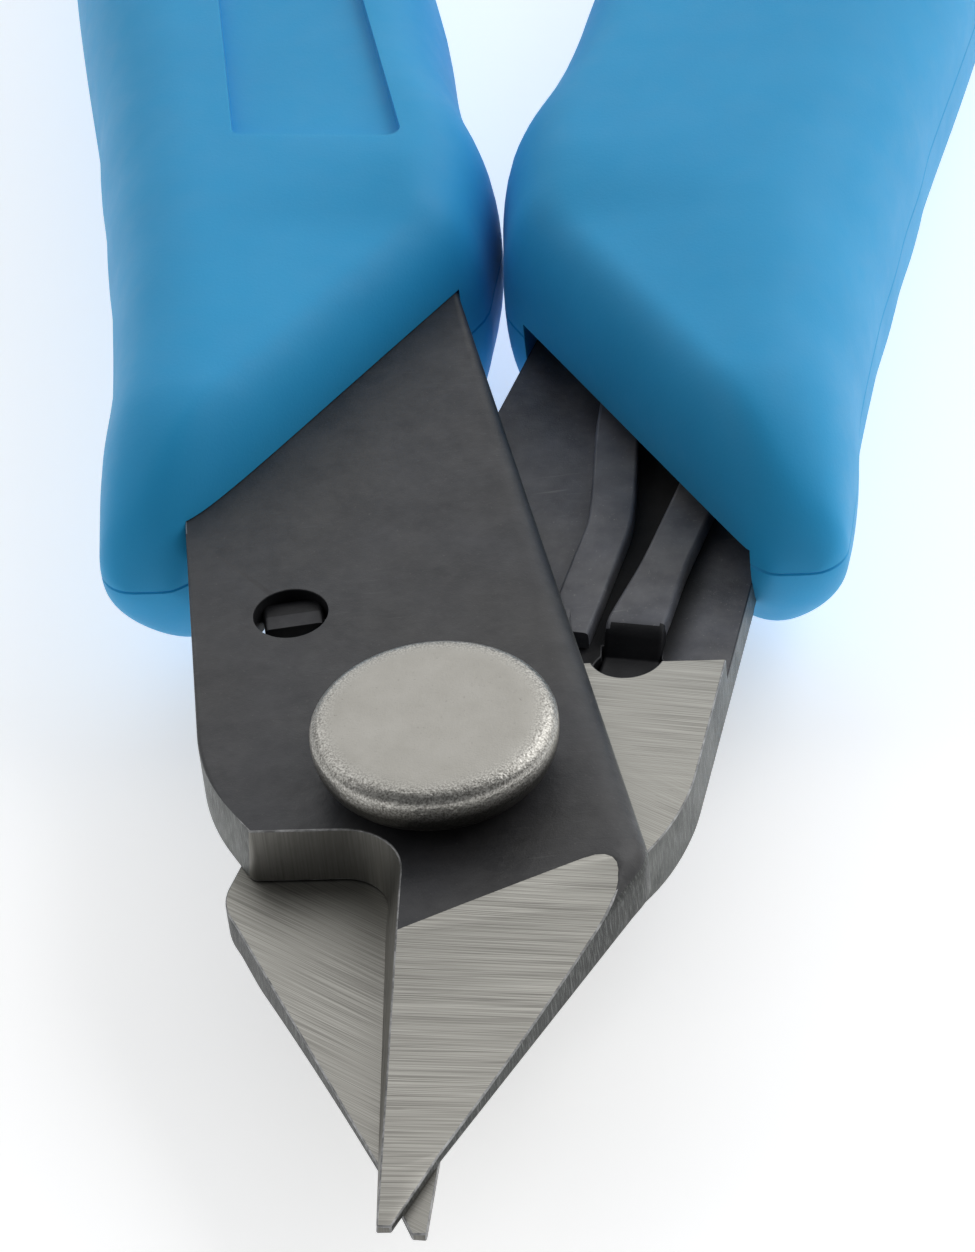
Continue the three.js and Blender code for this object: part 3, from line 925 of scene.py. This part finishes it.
def shank_cutter():
    """Room for the arm and the spring inside the grip, a little wider than the arm's shank."""
    outline = fillet([
        (-1.3, 18, 0), (1.3, 26.95, 10), (6.85, 45.05, 30), (9.85, 60.05, 30), (12.15, 75.05, 30),
        (13.75, SHANK_END_Y + 0.3, 2), (19.9, SHANK_END_Y + 0.3, 2), (18.65, 75, 30), (16.65, 60, 30),
        (13.75, 45, 30), (12.3, 30, 30), (10.8, 18, 30), (9.65, 12.5, 10), (9.4, 5, 0),
    ])
    return prism("slot", SLOT_RUBBER, FACE - PLATE - 0.04, TAB_TOP, outline)


def make_grip(side):
    grip = grip_blank(f"{side}_handle_grip")
    cut(grip, shank_cutter(), panel_cutter())
    shade(grip, 32)
    finish_piece(grip, side, f"{side}_half", "grip_rubber", f"{side}_grip")


# ---- pieces ------------------------------------------------------------------------------------------------

OXIDE = black_oxide("black_oxide", 0.03)
# recess floor: black oxide with the spring legs' painted shadow on it
RECESS_WITH_LEG_SHADOW = black_oxide("recess_oxide_leg_shadow", 0.105, leg_shadow=0.92)
# painted shade: near-black oxide on the hole's wall, the pocket and the tang's bend, which stand in shade
PAINTED_SHADE_BLACK = black_oxide("painted_shade_black", 0.012, 0.6, gloss=0.2)
SPRING = black_oxide("spring_black", 0.1, 0.6)
# painted shade: the tang foot's underside, darker than the strip, seen through the hole
TANG_FOOT_SHADE = black_oxide("tang_foot_shade", 0.03, 0.6, gloss=0.25)
GROUND_BEVEL = ground_steel("ground_bevel", 3, 0.43)
GROUND_FACE = lapped_steel("ground_face", -34, -10, 0.4)
GROUND_WALL = ground_steel("ground_wall", 90, 0.22, COARSE_STREAK, 0.5)
WORN_EDGE = worn_edge("worn_edge")
BLANKED_SIDE = blanked_side("blanked_side")
RIVET = tumbled_steel("tumbled_steel")
GRIP = moulded_rubber("blue_rubber")
SLOT_RUBBER = moulded_rubber("slot_rubber")

for half_name in HALVES:
    make_arm(half_name)
    make_anchored_leg(half_name)
    make_free_leg(half_name)
    make_bend(half_name)
    make_tab(half_name)
    make_grip(half_name)
make_rivet()


# ---- camera, lights and floor ------------------------------------------------------------------------------

def aim(obj, target, roll=0.0):
    """Turns a camera or light towards a target, then about its own line of sight by degrees."""
    look = (Vector(target) - obj.location).to_track_quat("-Z", "Y")
    obj.rotation_mode = "QUATERNION"
    obj.rotation_quaternion = look @ Matrix.Rotation(math.radians(roll), 4, "Z").to_quaternion()


def make_camera():
    """Close view along the tool from the jaw end."""
    azimuth = math.radians(CAMERA_AZIMUTH)
    elevation = math.radians(CAMERA_ELEVATION)
    target = PIVOT + Vector(CAMERA_TARGET) * MM
    level = math.cos(elevation)
    back = Vector((math.sin(azimuth) * level, -math.cos(azimuth) * level, math.sin(elevation)))
    data = bpy.data.cameras.new("camera")
    data.lens = CAMERA_LENS
    data.clip_start = 0.01
    camera = bpy.data.objects.new("camera", data)
    bpy.context.scene.collection.objects.link(camera)
    camera.location = target + back * CAMERA_DISTANCE
    aim(camera, target, CAMERA_ROLL)
    bpy.context.scene.camera = camera


def area_light(name, place, size, power):
    data = bpy.data.lights.new(name, "AREA")
    data.shape = "RECTANGLE"
    data.size, data.size_y = size
    data.energy = power
    light = bpy.data.objects.new(name, data)
    bpy.context.scene.collection.objects.link(light)
    light.location = place
    aim(light, LIGHT_TARGET)


def make_floor():
    corners = [(x * FLOOR, y * FLOOR, FLOOR_Z) for x, y in ((-1, -1), (1, -1), (1, 1), (-1, 1))]
    floor = new_object("floor", corners, [(0, 1, 2, 3)], paper_floor("pale_floor"))


def make_world():
    world = bpy.data.worlds.new("studio")
    bpy.context.scene.world = world
    world.use_nodes = True
    background = world.node_tree.nodes["Background"]
    background.inputs["Color"].default_value = (0.95, 0.97, 1.0, 1)
    background.inputs["Strength"].default_value = 0.16


make_camera()
make_world()
make_floor()
for light_settings in LIGHTS:
    area_light(*light_settings)
bpy.context.scene.view_settings.view_transform = "Standard"
